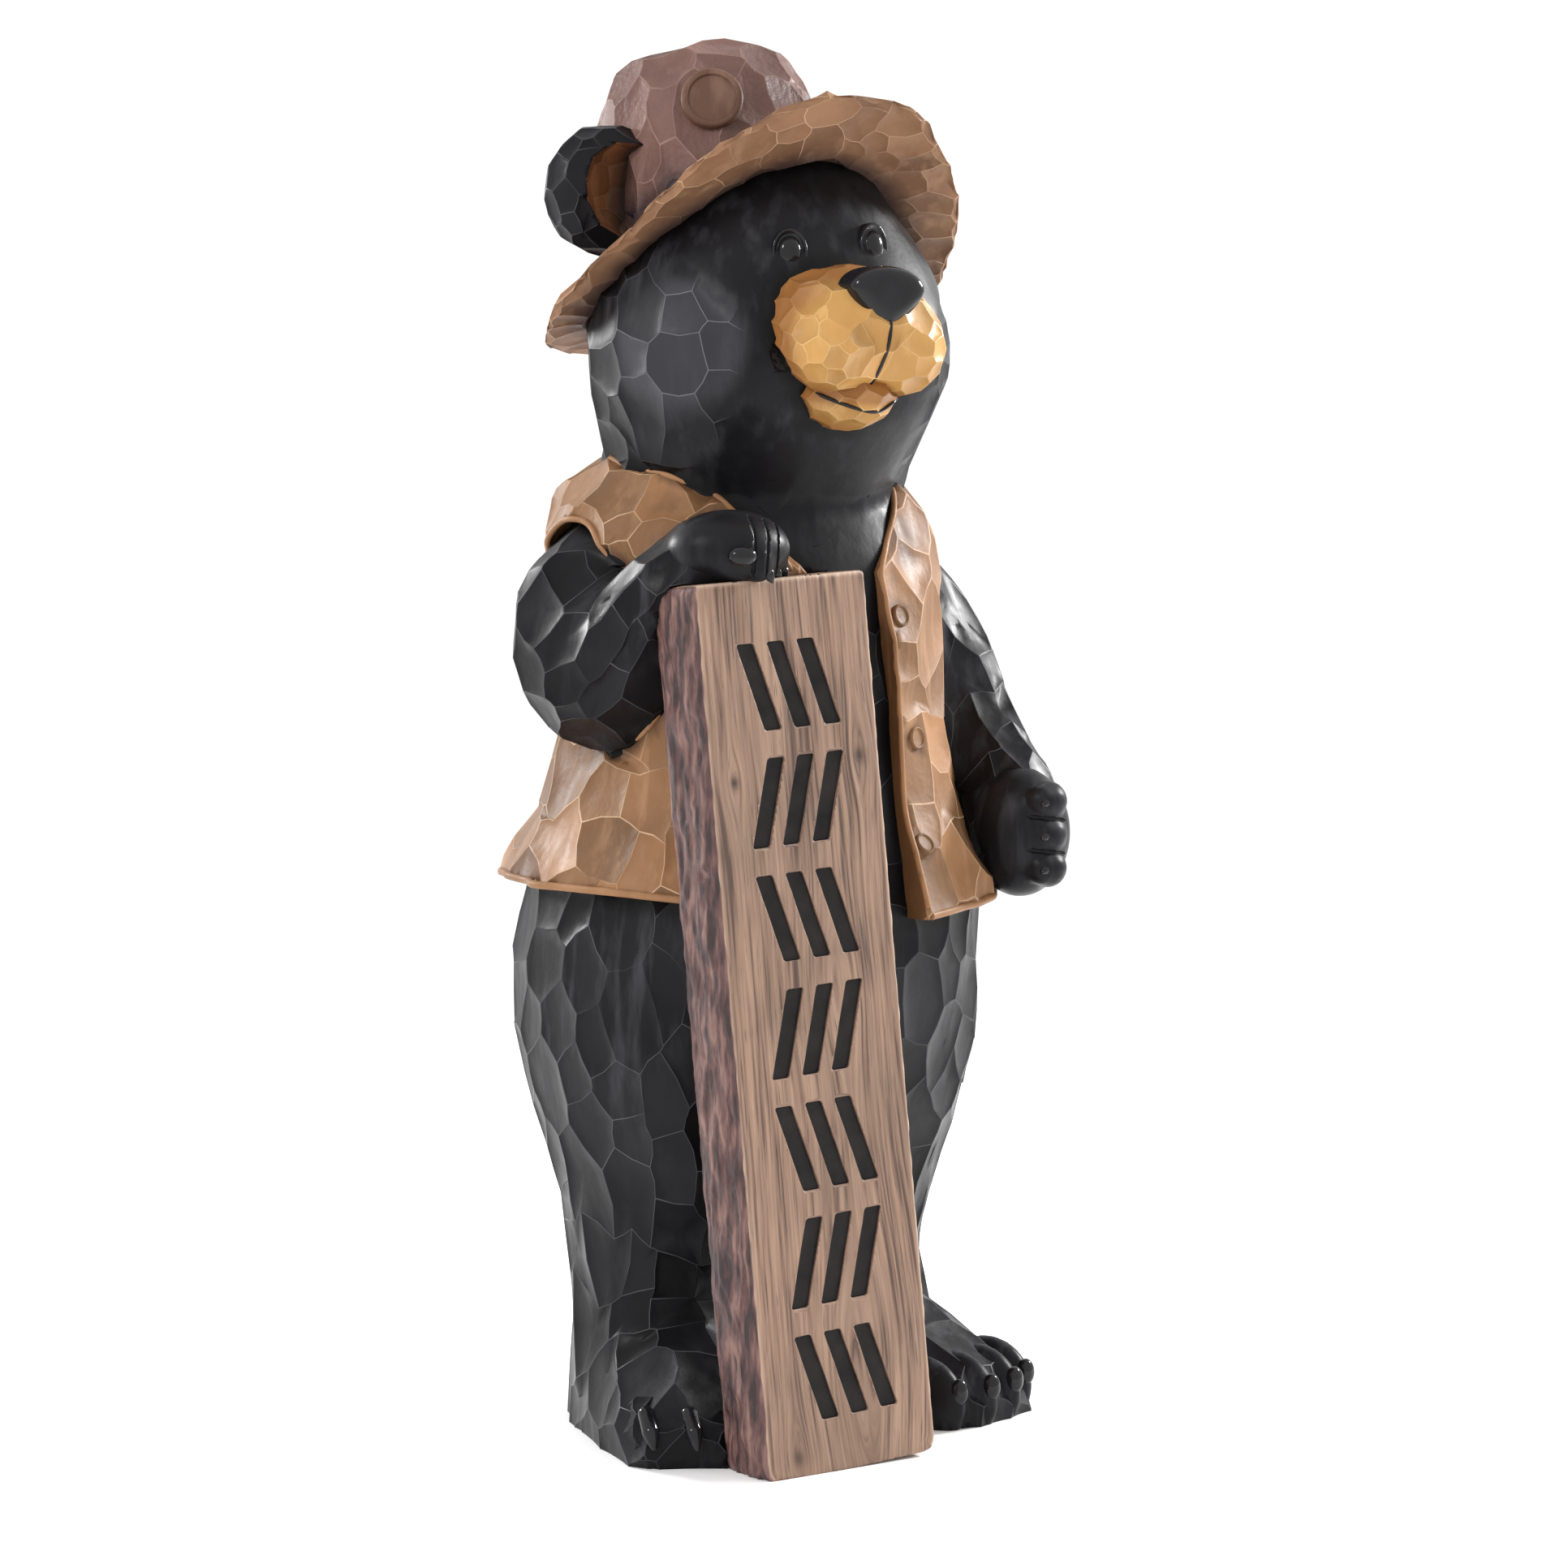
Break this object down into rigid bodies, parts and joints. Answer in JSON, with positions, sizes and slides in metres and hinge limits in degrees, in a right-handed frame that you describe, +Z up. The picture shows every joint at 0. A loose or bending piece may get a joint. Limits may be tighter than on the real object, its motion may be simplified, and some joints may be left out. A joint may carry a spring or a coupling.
{
  "type": "chainsaw carved bear",
  "caption": "Chainsaw carved bear in a hat and waistcoat, standing with one paw on a tall live-edge sign board.",
  "frame": {"origin": "middle of the footprint box, on the ground", "axes": "+Z up, the bear looks along -Y and its right side is at -X"},
  "size_m": [0.3658, 0.3536, 0.9051],
  "materials": {
    "black_coat": "carved in flat facets, black stain under a satin varnish",
    "hat_brown": "carved and stained brown, satin",
    "crown_mauve": "carved and stained mauve brown, rough satin",
    "waistcoat_tan": "carved like creased leather, stained tan, satin",
    "muzzle_ochre": "gouged in small dimples, stained ochre, satin",
    "ear_brown": "gouged, stained brown, satin",
    "gloss_black": "gloss black paint on the nose and claws",
    "sign_wood": "sawn grain, with dark bark on one edge and rows of black painted strokes",
    "eye_gloss": "polished"
  },
  "bodies": {
    "root": {"bear": "black_coat", "sign_plank": "sign_wood", "eye_right": "eye_gloss", "eye_left": "eye_gloss"}
  },
  "joints": []
}
